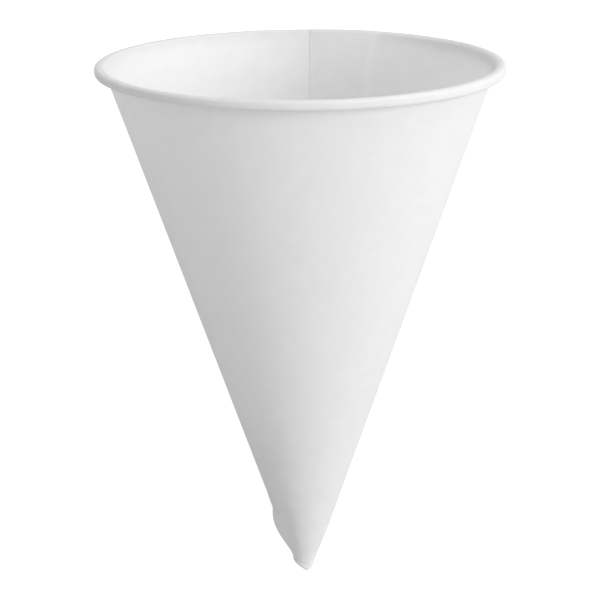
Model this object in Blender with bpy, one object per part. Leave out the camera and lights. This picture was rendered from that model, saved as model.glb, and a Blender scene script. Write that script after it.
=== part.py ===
"""Rolled-rim cone paper cup, lying on its side as it comes to rest.

One sheet of paper is wound a little more than one turn into a cone and glued along a lap.
Its top edge is rolled outwards into a hollow bead, and its tip is tucked and folded shut.
The cup is built upright: its axis is +Z, the lowest point of the tip is at height 0, and
-Y is the side without the lap. It is then laid down on its lap, its heavier side.
"""

import math

import bmesh
import bpy
from mathutils import Matrix, Vector

MM = 0.001

# Driving dimensions, in millimetres.
RIM_DIAMETER = 73.0
HEIGHT = 94.6
TIP_DIAMETER = 2.75
BEAD_DIAMETER = 2.05
ROLL_GAP = 0.35
PAPER = 0.25
CUT_EDGE = 0.06
LAP_WIDTH = 12.0
CLOSED_TIP = 3.4

# How far the tip stands to the viewer's right of the rim's middle: the cone is a little askew.
TIP_ASIDE = 0.75

# The lap's edge inside the cup, in degrees clockwise from the back as seen from above.
LAP_START = 3.0

# The folded end of the tip: it slants to a low ridge on one side of the axis, and the wall
# above it is pinched a little narrower.
RIDGE_OFFSET = 0.4
RISE_LEFT = 0.66
RISE_RIGHT = 0.34
TIP_REACH = 9.0
TIP_PINCH = 0.28
LIP_HEIGHT = 0.9
LIP_STEP = 0.36
END_ROUNDING = 0.24

# The tucked flap: it stands off the wall on the left, above the folded end, and a shallow
# crease runs up from its nose.
FLAP_BOTTOM = 3.7
FLAP_TOP = 12.3
FLAP_STANDOFF = 0.92
FLAP_CREASE = 0.17
CREASE_TOP = 15.5
FLAP_MIDDLE = 182.0
FLAP_TO_FRONT = 62.0
FLAP_TO_BACK = 34.0

# Facets.
COLUMN_ANGLE = 4.0
CURL_FACET = 25.0
WALL_ROWS = 4
FLAP_ROWS = 8

WHITE_PAPER = (0.9, 0.9, 0.9, 1.0)

rim_radius = RIM_DIAMETER / 2
bead_radius = BEAD_DIAMETER / 2
tip_radius = TIP_DIAMETER / 2
bead_centre = Vector((rim_radius - bead_radius, HEIGHT - bead_radius))


def wall_lean():
    """Angle between the wall and the axis: the wall runs from the tip to the bead's tangent."""
    across = bead_centre.x - tip_radius
    distance = math.hypot(across, bead_centre.y)
    hollow = bead_radius - PAPER
    return math.acos(hollow / distance) - math.atan2(bead_centre.y, across)


lean = wall_lean()
along_wall = Vector((math.sin(lean), math.cos(lean)))
into_cup = Vector((-math.cos(lean), math.sin(lean)))
wall_length = (bead_centre - Vector((tip_radius, 0))).dot(along_wall)
lap_angle = math.degrees(LAP_WIDTH / rim_radius)


def columns():
    """The sheet's columns, from its inner edge round to its outer edge under the lap.

    Each is (degrees wound, sideways shift, layers added inside, layers added outside). The
    sheet winds outwards by its own thickness in one turn. At each edge of the lap two columns
    stand side by side, and the step between them is the paper's cut edge.
    """
    half_cut = CUT_EDGE / 2
    lap_count = max(2, round(lap_angle / COLUMN_ANGLE))
    single_count = max(12, round((360 - lap_angle) / COLUMN_ANGLE))
    result = [(0.0, -half_cut, -0.5, 0.5)]
    for i in range(lap_count + 1):
        wound = lap_angle * i / lap_count
        shift = half_cut if i == 0 else -half_cut if i == lap_count else 0.0
        result.append((wound, shift, 0.5 - wound / 360, 0.5 + wound / 360))
    for i in range(single_count):
        wound = lap_angle + (360 - lap_angle) * i / single_count
        shift = half_cut if i == 0 else 0.0
        result.append((wound, shift, 0.5 - wound / 360, wound / 360 - 0.5))
    return result


def lap_factor(wound):
    """The glued lap is double and stiff, and lies flat: a chord of the round."""
    if wound >= lap_angle:
        return 1.0
    half = math.radians(lap_angle / 2)
    return math.cos(half) / math.cos(math.radians(wound) - half)


def smooth(x):
    """Runs from 0 to 1 with a soft start and end."""
    x = min(1.0, max(0.0, x))
    return x * x * (3 - 2 * x)


def crease(height):
    """The wall's shallow fold above the flap, where the tucked paper pushes it out."""
    if height <= FLAP_TOP - 1:
        return 0.0
    return FLAP_CREASE * (1 - max(0.0, (height - FLAP_TOP) / (CREASE_TOP - FLAP_TOP)) ** 3)


def flap(angle, height):
    """How far the tucked flap stands off the wall."""
    if height <= FLAP_BOTTOM or height >= CREASE_TOP:
        return 0.0
    rise = min(1.0, (height - FLAP_BOTTOM) / (FLAP_TOP - FLAP_BOTTOM))
    swell = math.sin(min(1.0, rise / 0.57) * math.pi / 2)
    nose = 1 - (max(0.0, rise - 0.57) / 0.43) ** 1.85
    stand_off = max(FLAP_STANDOFF * swell * nose, crease(height))
    turn = (angle - FLAP_MIDDLE + 180) % 360 - 180
    if turn > 0:
        around = 1 - smooth(turn / FLAP_TO_FRONT)
    else:
        around = 1.0 - 0.35 * smooth(-turn / FLAP_TO_BACK) if -turn < FLAP_TO_BACK else 0.0
    return stand_off * around


def end_slant(x):
    """Height of the folded end above its ridge, which is the cup's lowest line."""
    x -= RIDGE_OFFSET
    reach = tip_radius + abs(RIDGE_OFFSET)
    rise = RISE_LEFT if x < 0 else RISE_RIGHT
    return rise * reach * (abs(x) / reach) ** 1.4


def direction(column, radius):
    """Angle in degrees round the axis at which a column stands, at one radius."""
    wound, shift = column[0], column[1]
    return 90 - LAP_START - wound - math.degrees(shift / radius)


def place(radius, height, angle):
    turn = math.radians(angle)
    aside = TIP_ASIDE * (1 - height / HEIGHT)
    return Vector((radius * math.cos(turn) + aside, radius * math.sin(turn), height))


def wall_point(column, distance, layers):
    """A point beside the wall's outer face, distance up from the tip and layers inwards."""
    section = Vector((tip_radius, 0)) + along_wall * distance + into_cup * PAPER * layers
    angle = direction(column, section.x)
    section.x *= lap_factor(column[0])
    section.x -= TIP_PINCH * smooth(1 - section.y / TIP_REACH)
    return section, angle


def curl_point(column, swept, layers):
    """A point of the rolled rim, layers inside or outside the curl's hollow face."""
    turn = math.pi - lean - swept
    radius = bead_radius - PAPER + PAPER * layers
    section = bead_centre + radius * Vector((math.cos(turn), math.sin(turn)))
    flat = section.x * lap_factor(column[0])
    return place(flat, section.y, direction(column, section.x))


def curl_sweep():
    """How far the rim is rolled: its end stops ROLL_GAP short of the wall."""
    reach = (bead_radius - PAPER - ROLL_GAP) / bead_radius
    return 2 * math.pi - math.acos(reach)


def tip_level(height, angle, radius):
    """Rows near the folded end slant with it, and rows further up are level."""
    fade = max(0.0, 1 - height / TIP_REACH)
    return height + end_slant(radius * math.cos(math.radians(angle))) * fade


def outer_rows():
    """Rows of the outer skin as (height, factor of the radius, step outwards, lap shown)."""
    rows = [
        (0.0, 0.68, 0.0, 0.0),
        (0.4 * END_ROUNDING, 0.94, 0.0, 0.0),
        (END_ROUNDING, 1.0, LIP_STEP, 0.0),
        (LIP_HEIGHT, 1.0, LIP_STEP, 0.0),
        (LIP_HEIGHT + 0.12, 1.0, 0.0, 1.0),
        (0.5 * (LIP_HEIGHT + FLAP_BOTTOM), 1.0, 0.0, 1.0),
    ]
    for i in range(FLAP_ROWS + 1):
        share = math.sin(math.pi / 2 * i / FLAP_ROWS)
        rows.append((FLAP_BOTTOM + (FLAP_TOP - FLAP_BOTTOM) * share, 1.0, 0.0, 1.0))
    rows.append((CREASE_TOP, 1.0, 0.0, 1.0))
    return rows


def outer_ring(row, sheet):
    height, factor, step, lap_shown = row
    ring = []
    for column in sheet:
        rough_angle = direction(column, tip_radius + height * math.tan(lean))
        level = tip_level(height, rough_angle, tip_radius + 0.4)
        section, angle = wall_point(column, level / math.cos(lean), -column[3] * lap_shown)
        lip = step * (0.5 - 0.5 * math.cos(math.radians(angle)))
        radius = section.x * factor + lip + flap(angle, level)
        ring.append(place(radius, level, angle))
    return ring


def outer_skin(sheet):
    """Rings of the outer face, from the folded end up the wall and round inside the curl."""
    rings = [outer_ring(row, sheet) for row in outer_rows()]
    first = (CREASE_TOP + 3.0) / math.cos(lean)
    for i in range(WALL_ROWS):
        distance = first + (wall_length - first) * i / WALL_ROWS
        ring = []
        for column in sheet:
            section, angle = wall_point(column, distance, -column[3])
            ring.append(place(section.x, section.y, angle))
        rings.append(ring)
    sweep = curl_sweep()
    count = math.ceil(math.degrees(sweep) / CURL_FACET)
    for i in range(count + 1):
        rings.append([curl_point(column, sweep * i / count, -column[3]) for column in sheet])
    return rings


def inner_skin(sheet):
    """Rings of the inner face, from the closed tip up the wall and over the bead."""
    rings = []
    first = (CLOSED_TIP + 1.0) / math.cos(lean)
    for i in range(WALL_ROWS + 1):
        distance = first + (wall_length - first) * i / (WALL_ROWS + 1)
        lap_shown = 0.0 if i == 0 else 1.0
        ring = []
        for column in sheet:
            section, angle = wall_point(column, distance, 1 + column[2] * lap_shown)
            ring.append(place(section.x, section.y, angle))
        rings.append(ring)
    sweep = curl_sweep()
    count = math.ceil(math.degrees(sweep) / CURL_FACET)
    for i in range(count + 1):
        rings.append([curl_point(column, sweep * i / count, 1 + column[2]) for column in sheet])
    return rings


def add_strip(mesh, lower, upper):
    """Faces between two rings of the same count, facing away from the first's left side."""
    count = len(lower)
    for i in range(count):
        j = (i + 1) % count
        mesh.faces.new((lower[i], upper[i], upper[j], lower[j]))


def add_fan(mesh, ring, centre):
    count = len(ring)
    for i in range(count):
        mesh.faces.new((ring[i], ring[(i + 1) % count], centre))


def build_sheet():
    """The closed skin of the sheet: outer face, cut edge in the curl and inner face."""
    sheet = columns()
    mesh = bmesh.new()
    outer = [[mesh.verts.new(p * MM) for p in ring] for ring in outer_skin(sheet)]
    inner = [[mesh.verts.new(p * MM) for p in ring] for ring in inner_skin(sheet)]
    low_point = mesh.verts.new(Vector((RIDGE_OFFSET + TIP_ASIDE, 0, 0)) * MM)
    pit = mesh.verts.new(place(0, CLOSED_TIP, 0) * MM)
    rings = outer + inner[::-1]
    for lower, upper in zip(rings, rings[1:]):
        add_strip(mesh, lower, upper)
    add_fan(mesh, outer[0], low_point)
    add_fan(mesh, inner[0][::-1], pit)
    bmesh.ops.recalc_face_normals(mesh, faces=mesh.faces)
    bmesh.ops.triangulate(mesh, faces=mesh.faces)
    data = bpy.data.meshes.new("cone_cup")
    mesh.to_mesh(data)
    mesh.free()
    return data


def paper_material():
    material = bpy.data.materials.new("white_paper")
    material.use_nodes = True
    shader = material.node_tree.nodes["Principled BSDF"]
    shader.inputs["Base Color"].default_value = WHITE_PAPER
    shader.inputs["Roughness"].default_value = 0.8
    shader.inputs["Metallic"].default_value = 0.0
    return material


def lay_down(points):
    """Turns the lap to the table and leans the cup until its bead and its tip both touch."""
    lap_middle = 90 - LAP_START - lap_angle / 2
    roll = Matrix.Rotation(math.radians(90 - lap_middle), 4, "Z")
    turned = [roll @ p for p in points]
    bead = max(turned, key=lambda p: p.y * math.cos(lean) - p.z * math.sin(lean))
    low_end = [p for p in turned if p.z < bead.z / 2]
    slope = min(math.atan2(bead.y - p.y, bead.z - p.z) for p in low_end)
    pitch = Matrix.Rotation(slope - math.pi / 2, 4, "X")
    laid = [pitch @ p for p in turned]
    low = [min(p[k] for p in laid) for k in range(3)]
    high = [max(p[k] for p in laid) for k in range(3)]
    shift = Vector((-(low[0] + high[0]) / 2, -(low[1] + high[1]) / 2, -low[2]))
    return Matrix.Translation(shift) @ pitch @ roll


def main():
    for thing in list(bpy.data.objects):
        bpy.data.objects.remove(thing, do_unlink=True)
    data = build_sheet()
    data.materials.append(paper_material())
    cup = bpy.data.objects.new("cone_cup", data)
    bpy.context.collection.objects.link(cup)
    cup.matrix_world = lay_down([v.co for v in data.vertices])
    data.shade_smooth()
    data.set_sharp_from_angle(angle=math.radians(40))


main()
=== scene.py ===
"""The looks of a rolled-rim cone paper cup: its fine paper surface, light, floor and camera.

The cup lies on its lap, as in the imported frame. The solid's sheet is made again here with finer
rows and the small forms that the photo shows, and this mesh stands for the solid.
"""

import math

import bmesh
import bpy
from mathutils import Matrix, Vector, noise

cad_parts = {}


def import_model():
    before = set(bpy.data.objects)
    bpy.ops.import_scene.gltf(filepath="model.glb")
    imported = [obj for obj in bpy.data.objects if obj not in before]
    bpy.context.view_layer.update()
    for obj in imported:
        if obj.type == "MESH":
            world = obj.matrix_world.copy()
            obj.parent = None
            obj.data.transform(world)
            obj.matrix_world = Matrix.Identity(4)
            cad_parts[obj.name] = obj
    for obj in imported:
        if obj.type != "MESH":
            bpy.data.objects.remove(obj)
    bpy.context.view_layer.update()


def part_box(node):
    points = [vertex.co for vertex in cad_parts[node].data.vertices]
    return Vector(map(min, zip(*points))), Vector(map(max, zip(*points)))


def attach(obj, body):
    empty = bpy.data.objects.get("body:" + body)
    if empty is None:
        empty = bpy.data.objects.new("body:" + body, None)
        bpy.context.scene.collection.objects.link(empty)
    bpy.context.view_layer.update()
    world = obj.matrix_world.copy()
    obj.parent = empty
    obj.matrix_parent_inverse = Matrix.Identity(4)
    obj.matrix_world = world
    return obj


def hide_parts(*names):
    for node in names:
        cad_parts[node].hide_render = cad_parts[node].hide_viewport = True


MM = 0.001

# The sheet, in millimetres and degrees. The slit is a share of the inside's width at the tip.
RIM_DIAMETER = 73.0
HEIGHT = 94.6
RIM_TILT = 0.0025
PAPER = 0.25
TIP_DIAMETER = 2.75
TIP_ASIDE = 0.68
CLOSED_TIP = 3.4
PIT_RISE = 1.0
SLIT_RISE = 0.3
SLIT_WIDTH = 0.15
SLIT_LENGTH = 0.8

# The rolled rim. Its section passes from the wall's into a squarer one over these radians.
BEAD_DIAMETER = 2.05
ROLL_GAP = 0.2
CURL_PRESS = 0.75
CURL_EASE = 1.2
BEAD_SQUASH = 0.2
BEAD_SQUARE = 3.2
SQUARE_FROM = 0.7
SQUARE_OVER = 0.9

# The glued lap and how its cut edges show, in millimetres, degrees round and sheets of paper.
LAP_WIDTH = 12.0
LAP_START = 3.0
LAP_FLAT = 0.55
LAP_EASE = 6.0
CUT_EDGE = 0.1
EDGE_PRESS = 0.55
EDGE_SPREAD = 4.0
EDGE_SHOW = 1.0
SHOW_RISE = 12.0
SHOW_FALL = 2.5

# The folded end of the tip.
RIDGE_OFFSET = 0.4
RISE_LEFT = 0.66
RISE_RIGHT = 0.34
SLANT_POWER = 1.4
SLANT_OUT = 0.4
TIP_REACH = 9.0
TIP_PINCH = 0.28
LIP_HEIGHT = 1.15
LIP_STEP = 0.2
LIP_EDGE = 0.06
LIP_GROOVE = 0.08
GROOVE_LOW = 0.14
GROOVE_TOP = 0.26
END_ROUNDING = 0.24

# The tucked flap.
FLAP_BOTTOM = 3.7
FLAP_TOP = 12.3
FLAP_STANDOFF = 1.08
FLAP_WIDEST = 0.57
NOSE_POWER = 1.85
FLAP_CREASE = 0.17
CREASE_TOP = 15.5
FLAP_MIDDLE = 182.0
FLAP_TO_FRONT = 62.0
FLAP_TO_BACK = 34.0
BACK_FALL = 0.35
FLAP_SOFT = 4.0
FLAP_LEAST = 0.5

# Fineness of the mesh.
COLUMN_ANGLE = 1.5
CURL_FACET = 9.0
TIP_ROWS = 60
CREASE_ROWS = 8
WALL_ROWS = 30
WALL_START = 1.5
SHARP_ANGLE = 38.0

# The paper's unevenness, in millimetres: its depth, how fast it comes and goes, and how it fades.
WALL_WAVE = 0.05
BEAD_WAVE = 0.03
WAVE_ROUND = 1.6
WAVE_LENGTH = 45.0
BEAD_FINER = 3
CURL_FINER = 4
WAVE_FROM_TIP = 25.0
WAVE_TO_RIM = 6.0

# The share of light that single paper lets through. Where more plies lie behind it, in the curl
# and the tucked tip, less comes through, and the paper's colour there is painted a little darker as
# shade.
LET_THROUGH = 0.33
PLIES_STOP = 0.5
PLIES_PAINTED_SHADE = 0.08
CURL_PLIES_ROWS = 8

# The plies tucked into the tip: how many, and in millimetres and degrees where they fade. The
# higher band reaches well above the flap and darkens the lower wall there as painted shade.
TUCK_PAST = 24.0
TUCK_SHIFT = 8.0
FLAP_PLIES = 1.4
TUCK_TOP = 15.2
TUCK_FADE = 2.5
TUCK_EDGE = 26.0
HIGH_SHADE_PLIES = 1.1
HIGH_TOP = 34.0
HIGH_FADE = 16.0
HIGH_EDGE = 44.0
TIP_PLIES = 2.0
END_TOP = 7.0
END_FADE = 5.0

# The paper's surface: tones of its clouds, their fineness and the fibres', in metres.
TONE_LOW = 0.895
TONE_HIGH = 0.925
CLOUD_SCALE = 420
FIBRE_SCALE = 3500
FIBRE_HEIGHT = 0.00004

# The floor, in metres, and how far the camera sees it lifted.
FLOOR_SIZE = 8
FLOOR_TONE = 0.85
FLOOR_LIFT = 0.6

# The camera, from a fit to the photograph: a long lens a little above the rim.
LENS = 200.0
SENSOR = 36.0
CAMERA_DISTANCE = 601.1
CAMERA_ABOVE_RIM = 14.19
CAMERA_ROLL = -0.14
AIM_HEIGHT = 51.14
AIM_RIGHT = -0.14

# Strength of the light that comes from all round, and the height that the lamps point at.
SURROUND = 0.493
LAMP_AIM = 60.0

rim_radius = RIM_DIAMETER / 2
bead_radius = BEAD_DIAMETER / 2
tip_radius = TIP_DIAMETER / 2
bead_centre = Vector((rim_radius - bead_radius, HEIGHT - bead_radius))


def wall_lean():
    """Angle between the wall and the axis: the wall runs from the tip to the bead's tangent."""
    across = bead_centre.x - tip_radius
    distance = math.hypot(across, bead_centre.y)
    hollow = bead_radius - PAPER
    return math.acos(hollow / distance) - math.atan2(bead_centre.y, across)


lean = wall_lean()
along_wall = Vector((math.sin(lean), math.cos(lean)))
into_cup = Vector((-math.cos(lean), math.sin(lean)))
wall_length = (bead_centre - Vector((tip_radius, 0))).dot(along_wall)
lap_angle = math.degrees(LAP_WIDTH / rim_radius)


def smooth(x):
    """Runs from 0 to 1 with a soft start and end."""
    x = min(1.0, max(0.0, x))
    return x * x * (3 - 2 * x)


def columns():
    """Columns of the wound sheet: (degrees wound, sideways shift, layers inside, outside).

    The lap's inner cut edge is pressed a little flat, and inside the mouth the sheet dips just
    past the outer cut edge.
    """
    half_cut = CUT_EDGE / 2
    lap_count = round(lap_angle / COLUMN_ANGLE)
    single_count = round((360 - lap_angle) / COLUMN_ANGLE)
    result = [(0.0, -half_cut, -0.5, 0.5)]
    for i in range(lap_count + 1):
        wound = lap_angle * i / lap_count
        shift = half_cut if i == 0 else -half_cut if i == lap_count else 0.0
        pressed = EDGE_PRESS * (1 - smooth(wound / EDGE_SPREAD))
        pressed -= EDGE_SHOW * smooth(wound / SHOW_RISE)
        result.append((wound, shift, 0.5 - wound / 360 - pressed, 0.5 + wound / 360))
    for i in range(single_count):
        wound = lap_angle + (360 - lap_angle) * i / single_count
        shift = half_cut if i == 0 else 0.0
        shown = EDGE_SHOW * (1 - smooth((wound - lap_angle) / SHOW_FALL))
        result.append((wound, shift, 0.5 - wound / 360 + shown, wound / 360 - 0.5))
    return result


def chord(wound):
    """The glued lap is double and stiff, and lies flatter than the round: partly a chord of it."""
    if wound >= lap_angle:
        return 1.0
    half = math.radians(lap_angle / 2)
    return 1 - LAP_FLAT * (1 - math.cos(half) / math.cos(math.radians(wound) - half))


def lap_factor(wound):
    """The chord, eased into the round at the lap's outer edge."""
    if not lap_angle - LAP_EASE < wound < lap_angle + LAP_EASE:
        return chord(wound)
    reach = LAP_EASE - abs(wound - lap_angle)
    spots = [wound + reach * (k / 4 - 1) for k in range(9)]
    return sum(chord(w) for w in spots) / len(spots)


def crease(height):
    """The wall's shallow fold above the flap, where the tucked paper pushes it out."""
    if height <= FLAP_TOP - 1:
        return 0.0
    return FLAP_CREASE * (1 - max(0.0, (height - FLAP_TOP) / (CREASE_TOP - FLAP_TOP)) ** 3)


def past_fold(angle):
    """Degrees round from the flap's fold, more towards the front of the photo."""
    return (angle - FLAP_MIDDLE + 180) % 360 - 180


def tucked(angle, height):
    """How many plies of the tucked tip lie behind the wall: 0 clear of it, soft at its edges."""
    middle = (FLAP_TO_FRONT - FLAP_TO_BACK) / 2
    half_width = (FLAP_TO_FRONT + FLAP_TO_BACK) / 2
    aside = half_width + TUCK_PAST - abs(past_fold(angle) - middle - TUCK_SHIFT)
    low = FLAP_PLIES * smooth((TUCK_TOP - height) / TUCK_FADE) * smooth(aside / TUCK_EDGE)
    # Painted shade: this higher band reaches well above the flap and darkens the lower wall there.
    high = HIGH_SHADE_PLIES * smooth((HIGH_TOP - height) / HIGH_FADE) * smooth(aside / HIGH_EDGE)
    return max(low, high, TIP_PLIES * smooth((END_TOP - height) / END_FADE))


def flap_face(turn, radius, stand_off):
    """How far the flap stands off: seen from above it runs straight from its fold to the wall."""
    if not -FLAP_TO_BACK < turn < FLAP_TO_FRONT:
        return 0.0
    if turn < 0:
        return stand_off * (1.0 - BACK_FALL * smooth(-turn / FLAP_TO_BACK))
    span, part = math.radians(FLAP_TO_FRONT), math.radians(turn)
    out = radius + max(stand_off, FLAP_LEAST)
    straight = out * radius * math.sin(span)
    straight /= out * math.sin(part) + radius * math.sin(span - part)
    return min(1.0, stand_off / FLAP_LEAST) * (straight - radius)


def flap(angle, height, radius):
    """How far the tucked flap stands off the wall, with its fold and front crease softened."""
    if height <= FLAP_BOTTOM or height >= CREASE_TOP:
        return 0.0
    rise = min(1.0, (height - FLAP_BOTTOM) / (FLAP_TOP - FLAP_BOTTOM))
    swell = math.sin(min(1.0, rise / FLAP_WIDEST) * math.pi / 2)
    nose = 1 - (max(0.0, rise - FLAP_WIDEST) / (1 - FLAP_WIDEST)) ** NOSE_POWER
    stand_off = max(FLAP_STANDOFF * swell * nose, crease(height))
    turn = past_fold(angle)
    if turn < -2 * FLAP_SOFT:
        return flap_face(turn, radius, stand_off)
    spots = [turn + FLAP_SOFT * k for k in range(-2, 3)]
    return sum(flap_face(spot, radius, stand_off) for spot in spots) / len(spots)


def end_slant(x):
    """Height of the folded end above its ridge, which is the cup's lowest line."""
    x -= RIDGE_OFFSET
    reach = tip_radius + abs(RIDGE_OFFSET)
    rise = RISE_LEFT if x < 0 else RISE_RIGHT
    return rise * reach * (abs(x) / reach) ** SLANT_POWER


def direction(column, radius):
    """Angle in degrees round the axis at which a column stands, at one radius."""
    wound, shift = column[0], column[1]
    return 90 - LAP_START - wound - math.degrees(shift / radius)


def place(radius, height, angle):
    """A point in the upright cup's frame, whose tip stands aside and whose rim tilts a little."""
    turn = math.radians(angle)
    x = radius * math.cos(turn) + TIP_ASIDE * (1 - height / HEIGHT)
    return Vector((x, radius * math.sin(turn), height + RIM_TILT * x * height / HEIGHT))


def wave(angle, height, size):
    """Slow unevenness of the hand of the paper, the same on both faces of the sheet."""
    turn = math.radians(angle)
    round_x, round_y = WAVE_ROUND * math.cos(turn), WAVE_ROUND * math.sin(turn)
    return size * noise.noise(Vector((round_x, round_y, height / WAVE_LENGTH)))


def wall_point(column, distance, layers):
    """A point beside the wall's outer face, distance up from the tip and layers inwards."""
    section = Vector((tip_radius, 0)) + along_wall * distance + into_cup * PAPER * layers
    angle = direction(column, section.x)
    section.x *= lap_factor(column[0])
    section.x -= TIP_PINCH * smooth(1 - section.y / TIP_REACH)
    return section, angle


def wall_place(column, distance, layers):
    """The same point with the paper's unevenness, in the upright cup's frame."""
    section, angle = wall_point(column, distance, layers)
    held = smooth(distance / WAVE_FROM_TIP) * smooth((wall_length - distance) / WAVE_TO_RIM)
    return place(section.x + wave(angle, section.y, WALL_WAVE) * held, section.y, angle)


def curl_point(column, swept, layers):
    """A point of the rolled rim, layers outside the curl's hollow face.

    Rolling presses the plies together and leaves the bead squarer than a circle, and lower on
    the left of the photo.
    """
    turn = math.pi - lean - swept
    radius = bead_radius - PAPER + PAPER * layers
    across, up = abs(math.cos(turn)), abs(math.sin(turn))
    square = (across ** BEAD_SQUARE + up ** BEAD_SQUARE) ** (-1 / BEAD_SQUARE)
    radius *= 1 + (square - 1) * smooth((swept - SQUARE_FROM) / SQUARE_OVER)
    rough_angle = direction(column, rim_radius)
    eased = smooth(swept / CURL_EASE)
    radius += wave(BEAD_FINER * rough_angle, CURL_FINER * swept, BEAD_WAVE) * eased
    to_left = 0.5 - 0.5 * math.cos(math.radians(rough_angle))
    squash = 1 - BEAD_SQUASH * to_left * eased
    section = bead_centre + radius * Vector((math.cos(turn), squash * math.sin(turn)))
    flat = section.x * lap_factor(column[0])
    return place(flat, section.y, direction(column, section.x))


def curl_layers(extra, swept):
    """Layers that stand beyond a single sheet in the curl, where the roll presses them."""
    return extra * (1 - CURL_PRESS * smooth(swept / CURL_EASE))


def curl_sweep():
    """How far the rim is rolled: its end stops ROLL_GAP short of the wall."""
    reach = (bead_radius - PAPER - ROLL_GAP) / bead_radius
    return 2 * math.pi - math.acos(reach)


def tip_level(height, angle, radius):
    """Rows near the folded end slant with it, and rows further up are level."""
    fade = max(0.0, 1 - height / TIP_REACH)
    return height + end_slant(radius * math.cos(math.radians(angle))) * fade


def outer_rows():
    """Rows of the outer skin as (height, factor of the radius, step outwards, lap shown).

    The first shape the rounded end, the next the lip and the groove above it, the rest the flap.
    """
    rows = [
        (0.0, 0.3, 0.0, 0.0),
        (0.0, 0.68, 0.0, 0.0),
        (0.1 * END_ROUNDING, 0.84, 0.0, 0.0),
        (0.4 * END_ROUNDING, 0.94, 0.0, 0.0),
        (0.7 * END_ROUNDING, 0.98, 0.5 * LIP_STEP, 0.0),
        (END_ROUNDING, 1.0, LIP_STEP, 0.0),
        (0.5 * (LIP_HEIGHT + END_ROUNDING), 1.0, LIP_STEP, 0.0),
        (LIP_HEIGHT - LIP_EDGE, 1.0, LIP_STEP, 0.0),
        (LIP_HEIGHT, 1.0, 0.7 * LIP_STEP, 0.1),
        (LIP_HEIGHT + LIP_EDGE, 1.0, -LIP_GROOVE, 0.4),
        (LIP_HEIGHT + GROOVE_LOW, 1.0, -LIP_GROOVE, 0.7),
        (LIP_HEIGHT + GROOVE_TOP, 1.0, 0.0, 1.0),
    ]
    bottom = LIP_HEIGHT + GROOVE_TOP
    for i in range(1, TIP_ROWS + 1):
        rows.append((bottom + (FLAP_TOP - bottom) * i / TIP_ROWS, 1.0, 0.0, 1.0))
    for i in range(1, CREASE_ROWS + 1):
        rows.append((FLAP_TOP + (CREASE_TOP - FLAP_TOP) * i / CREASE_ROWS, 1.0, 0.0, 1.0))
    return rows


def outer_ring(row, sheet):
    """One ring of the tip's outer face, with its slant, lip and flap."""
    height, factor, step, lap_shown = row
    ring = []
    for column in sheet:
        rough_angle = direction(column, tip_radius + height * math.tan(lean))
        level = tip_level(height, rough_angle, tip_radius + SLANT_OUT)
        section, angle = wall_point(column, level / math.cos(lean), -column[3] * lap_shown)
        lip = step * (0.5 - 0.5 * math.cos(math.radians(angle)))
        radius = section.x * factor + lip + flap(angle, level, section.x)
        ring.append(place(radius, level, angle))
    return ring


def outer_skin(sheet):
    """Rings of the outer face, from the folded end up the wall and round inside the curl."""
    rings = [outer_ring(row, sheet) for row in outer_rows()]
    first = (CREASE_TOP + WALL_START) / math.cos(lean)
    for i in range(WALL_ROWS):
        distance = first + (wall_length - first) * i / WALL_ROWS
        rings.append([wall_place(column, distance, -column[3]) for column in sheet])
    sweep = curl_sweep()
    count = math.ceil(math.degrees(sweep) / CURL_FACET)
    for i in range(count + 1):
        swept = sweep * i / count
        rings.append([curl_point(c, swept, -curl_layers(c[3], swept)) for c in sheet])
    return rings


def inner_skin(sheet):
    """Rings of the inner face, from the tip's folded slit up the wall and over the bead."""
    first = (CLOSED_TIP + PIT_RISE) / math.cos(lean)
    slit = []
    for column in sheet:
        point = wall_place(column, first, 1.0)
        across, along = point.x * SLIT_WIDTH, point.y * SLIT_LENGTH
        slit.append(Vector((across, along, CLOSED_TIP + SLIT_RISE)))
    rings = [slit]
    for i in range(WALL_ROWS + 1):
        distance = first + (wall_length - first) * i / (WALL_ROWS + 1)
        lap_shown = 0.0 if i == 0 else 1.0
        layers = [1 + column[2] * lap_shown for column in sheet]
        rings.append([wall_place(c, distance, inside) for c, inside in zip(sheet, layers)])
    sweep = curl_sweep()
    count = math.ceil(math.degrees(sweep) / CURL_FACET)
    for i in range(count + 1):
        swept = sweep * i / count
        rings.append([curl_point(c, swept, 1 + curl_layers(c[2], swept)) for c in sheet])
    return rings


def add_strip(mesh, lower, upper):
    count = len(lower)
    for i in range(count):
        j = (i + 1) % count
        mesh.faces.new((lower[i], upper[i], upper[j], lower[j]))


def add_fan(mesh, ring, centre):
    count = len(ring)
    for i in range(count):
        mesh.faces.new((ring[i], ring[(i + 1) % count], centre))


def lay_down(points, box):
    """Turns the lap down, leans the cup onto bead and tip, and centres it on the frame's box."""
    lap_middle = 90 - LAP_START - lap_angle / 2
    roll = Matrix.Rotation(math.radians(90 - lap_middle), 4, "Z")
    turned = [roll @ p for p in points]
    bead = max(turned, key=lambda p: p.y * math.cos(lean) - p.z * math.sin(lean))
    low_end = [p for p in turned if p.z < bead.z / 2]
    slope = min(math.atan2(bead.y - p.y, bead.z - p.z) for p in low_end)
    pitch = Matrix.Rotation(slope - math.pi / 2, 4, "X")
    laid = [pitch @ p for p in turned]
    low = [min(p[k] for p in laid) for k in range(3)]
    high = [max(p[k] for p in laid) for k in range(3)]
    shift = Vector(
        (
            (box[0][0] + box[1][0] - low[0] - high[0]) / 2,
            (box[0][1] + box[1][1] - low[1] - high[1]) / 2,
            box[0][2] - low[2],
        )
    )
    return Matrix.Translation(shift) @ pitch @ roll


def all_plies(outer, inner):
    """For each point of the rings, how many more plies lie behind it: 0 where there is one."""
    curl_count = math.ceil(math.degrees(curl_sweep()) / CURL_FACET) + 1
    result = []
    for rings in (outer, inner):
        for k, ring in enumerate(rings):
            in_curl = smooth((k - (len(rings) - curl_count)) / CURL_PLIES_ROWS)
            for point in ring:
                angle = math.degrees(math.atan2(point.y, point.x))
                result.append(max(in_curl, tucked(angle, point.z)))
    return result + [1.0, 1.0]


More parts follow.
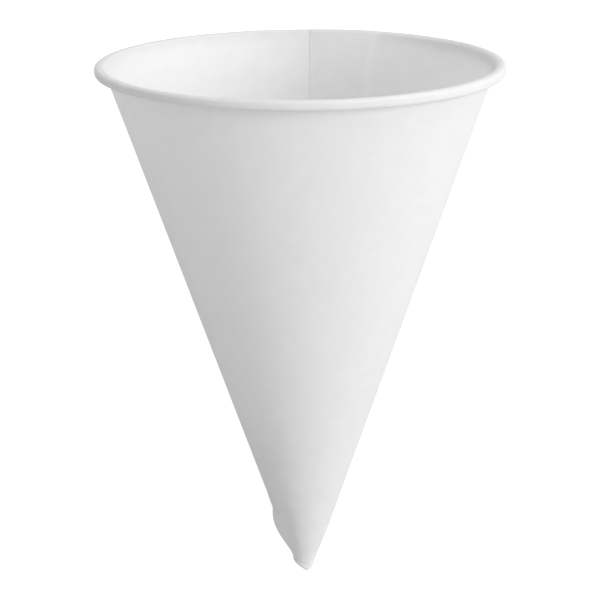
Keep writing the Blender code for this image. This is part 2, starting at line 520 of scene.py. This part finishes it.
def build_cup(box):
    """The cup's fine mesh, laid down, and the matrix from its upright frame to the scene."""
    sheet = columns()
    mesh = bmesh.new()
    outer_points, inner_points = outer_skin(sheet), inner_skin(sheet)
    outer = [[mesh.verts.new(p * MM) for p in ring] for ring in outer_points]
    inner = [[mesh.verts.new(p * MM) for p in ring] for ring in inner_points]
    low_point = mesh.verts.new(Vector((RIDGE_OFFSET + TIP_ASIDE, 0, 0)) * MM)
    pit = mesh.verts.new(Vector((0, 0, CLOSED_TIP)) * MM)
    rings = outer + inner[::-1]
    for lower, upper in zip(rings, rings[1:]):
        add_strip(mesh, lower, upper)
    add_fan(mesh, outer[0], low_point)
    add_fan(mesh, inner[0][::-1], pit)
    bmesh.ops.recalc_face_normals(mesh, faces=mesh.faces)
    laid = lay_down([v.co.copy() for v in mesh.verts], box)
    data = bpy.data.meshes.new("paper_cup")
    mesh.to_mesh(data)
    mesh.free()
    data.transform(laid)
    data.shade_smooth()
    data.set_sharp_from_angle(angle=math.radians(SHARP_ANGLE))
    # The plies also darken the paper's colour as painted shade, in the curl and the tucked tip.
    plies = data.attributes.new("plies", "FLOAT", "POINT")
    plies.data.foreach_set("value", all_plies(outer_points, inner_points))
    cup = bpy.data.objects.new("paper_cup", data)
    bpy.context.collection.objects.link(cup)
    return cup, laid


def paper():
    """White uncoated paper: a faint cloudy tone, fine fibres, a dry surface, some light let through,
    painted shade.
    """
    material = bpy.data.materials.new("white_paper")
    material.use_nodes = True
    nodes = material.node_tree.nodes
    links = material.node_tree.links
    shader = nodes["Principled BSDF"]
    shader.inputs["Roughness"].default_value = 0.75
    shader.inputs["Specular IOR Level"].default_value = 0.3
    place_nodes = nodes.new("ShaderNodeTexCoord")

    cloud = nodes.new("ShaderNodeTexNoise")
    cloud.inputs["Scale"].default_value = CLOUD_SCALE
    cloud.inputs["Detail"].default_value = 5
    links.new(place_nodes.outputs["Object"], cloud.inputs["Vector"])
    tone = nodes.new("ShaderNodeValToRGB")
    tone.color_ramp.elements[0].position = 0.3
    tone.color_ramp.elements[0].color = (TONE_LOW, TONE_LOW, TONE_LOW, 1)
    tone.color_ramp.elements[1].position = 0.7
    tone.color_ramp.elements[1].color = (TONE_HIGH, TONE_HIGH, TONE_HIGH, 1)
    links.new(cloud.outputs["Fac"], tone.inputs["Fac"])
    plies = nodes.new("ShaderNodeAttribute")
    plies.attribute_name = "plies"
    # Painted shade: the colour is darkened where more plies lie behind, in the curl and the tucked tip.
    painted_shade = nodes.new("ShaderNodeMath")
    painted_shade.operation = "MULTIPLY_ADD"
    painted_shade.inputs[1].default_value = -PLIES_PAINTED_SHADE
    painted_shade.inputs[2].default_value = 1
    links.new(plies.outputs["Fac"], painted_shade.inputs[0])
    shaded_tone = nodes.new("ShaderNodeVectorMath")
    shaded_tone.operation = "SCALE"
    links.new(tone.outputs["Color"], shaded_tone.inputs[0])
    links.new(painted_shade.outputs["Value"], shaded_tone.inputs["Scale"])
    links.new(shaded_tone.outputs["Vector"], shader.inputs["Base Color"])

    fibre = nodes.new("ShaderNodeTexNoise")
    fibre.inputs["Scale"].default_value = FIBRE_SCALE
    fibre.inputs["Detail"].default_value = 6
    fibre.inputs["Roughness"].default_value = 0.65
    links.new(place_nodes.outputs["Object"], fibre.inputs["Vector"])
    bump = nodes.new("ShaderNodeBump")
    bump.inputs["Strength"].default_value = 0.35
    bump.inputs["Distance"].default_value = FIBRE_HEIGHT
    links.new(fibre.outputs["Fac"], bump.inputs["Height"])
    links.new(bump.outputs["Normal"], shader.inputs["Normal"])

    through = nodes.new("ShaderNodeBsdfTranslucent")
    through.inputs["Color"].default_value = (0.97, 0.97, 0.97, 1)
    links.new(bump.outputs["Normal"], through.inputs["Normal"])
    let_through = nodes.new("ShaderNodeMath")
    let_through.operation = "MULTIPLY_ADD"
    let_through.inputs[1].default_value = -LET_THROUGH * PLIES_STOP
    let_through.inputs[2].default_value = LET_THROUGH
    links.new(plies.outputs["Fac"], let_through.inputs[0])
    both = nodes.new("ShaderNodeMixShader")
    links.new(let_through.outputs["Value"], both.inputs["Fac"])
    links.new(shader.outputs["BSDF"], both.inputs[1])
    links.new(through.outputs["BSDF"], both.inputs[2])
    links.new(both.outputs["Shader"], nodes["Material Output"].inputs["Surface"])
    return material


def floor():
    """A wide white floor. The camera sees it lifted to white, apart from the cup's shadow.

    Rays through the paper don't see the lift, because they would bring more light onto the cup.
    """
    bpy.ops.mesh.primitive_plane_add(size=FLOOR_SIZE)
    ground = bpy.context.object
    ground.name = "floor"
    material = bpy.data.materials.new("floor_white")
    material.use_nodes = True
    nodes = material.node_tree.nodes
    links = material.node_tree.links
    nodes.remove(nodes["Principled BSDF"])
    diffuse = nodes.new("ShaderNodeBsdfDiffuse")
    diffuse.inputs["Color"].default_value = (FLOOR_TONE, FLOOR_TONE, FLOOR_TONE, 1)
    glow = nodes.new("ShaderNodeEmission")
    rays = nodes.new("ShaderNodeLightPath")
    lift = nodes.new("ShaderNodeMath")
    lift.operation = "MULTIPLY"
    lift.inputs[1].default_value = FLOOR_LIFT
    links.new(rays.outputs["Is Camera Ray"], lift.inputs[0])
    links.new(lift.outputs["Value"], glow.inputs["Strength"])
    both = nodes.new("ShaderNodeAddShader")
    links.new(diffuse.outputs["BSDF"], both.inputs[0])
    links.new(glow.outputs["Emission"], both.inputs[1])
    links.new(both.outputs["Shader"], nodes["Material Output"].inputs["Surface"])
    ground.data.materials.append(material)


def area_light(name, azimuth, elevation, distance, size, power, laid):
    """A soft square lamp, placed by its angles in the upright cup's frame: 0, 0 is the front."""
    azimuth, elevation = math.radians(azimuth), math.radians(elevation)
    level = math.cos(elevation)
    towards = Vector((level * math.sin(azimuth), -level * math.cos(azimuth), math.sin(elevation)))
    towards = laid.to_3x3() @ towards
    target = laid @ Vector((0, 0, LAMP_AIM * MM))
    data = bpy.data.lights.new(name, "AREA")
    data.shape = "SQUARE"
    data.size = size
    data.energy = power
    lamp = bpy.data.objects.new(name, data)
    lamp.location = target + towards * distance
    lamp.rotation_euler = (-towards).to_track_quat("-Z", "Y").to_euler()
    bpy.context.collection.objects.link(lamp)


def lights(laid):
    """Soft studio light: a bright surround, a large lamp on the right and three weak fills.

    The camera sees the surround as white where it looks past the floor.
    """
    world = bpy.data.worlds.new("studio")
    world.use_nodes = True
    nodes = world.node_tree.nodes
    background = nodes["Background"]
    background.inputs["Color"].default_value = (1, 1, 1, 1)
    rays = nodes.new("ShaderNodeLightPath")
    strength = nodes.new("ShaderNodeMath")
    strength.operation = "MULTIPLY_ADD"
    strength.inputs[1].default_value = 1 - SURROUND
    strength.inputs[2].default_value = SURROUND
    world.node_tree.links.new(rays.outputs["Is Camera Ray"], strength.inputs[0])
    world.node_tree.links.new(strength.outputs["Value"], background.inputs["Strength"])
    bpy.context.scene.world = world
    area_light("key", 53, 16, 1.2, 0.5, 7.12, laid)
    area_light("low_fill", 20, -35, 1.2, 0.5, 1.65, laid)
    area_light("left_fill", -40, 45, 0.4, 0.3, 0.25, laid)
    area_light("right_fill", 60, 60, 0.4, 0.3, 0.34, laid)


def camera(laid):
    """The photograph's view: from the side without the lap, a little above the rim's plane."""
    rise = math.radians(CAMERA_ABOVE_RIM)
    forward = Vector((0, math.cos(rise), -math.sin(rise)))
    right = Vector((1, 0, 0))
    up = right.cross(forward)
    tilt = math.radians(CAMERA_ROLL)
    right, up = (
        right * math.cos(tilt) + up * math.sin(tilt),
        up * math.cos(tilt) - right * math.sin(tilt),
    )
    aim = Vector((AIM_RIGHT, 0, AIM_HEIGHT)) * MM
    eye = aim - forward * CAMERA_DISTANCE * MM
    upright = Matrix.Identity(4)
    for k, axis in enumerate((right, up, -forward)):
        upright.col[k] = (*axis, 0)
    upright.col[3] = (*eye, 1)
    data = bpy.data.cameras.new("photo_view")
    data.lens = LENS
    data.sensor_width = SENSOR
    data.clip_start = 0.01
    data.clip_end = 20
    view = bpy.data.objects.new("photo_view", data)
    view.matrix_world = laid @ upright
    bpy.context.collection.objects.link(view)
    bpy.context.scene.camera = view


def main():
    """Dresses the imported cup."""
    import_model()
    cup, laid = build_cup(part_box("cone_cup"))
    cup.data.materials.append(paper())
    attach(cup, "root")
    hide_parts("cone_cup")
    camera(laid)
    lights(laid)
    floor()
    bpy.context.scene.view_settings.view_transform = "Standard"


main()
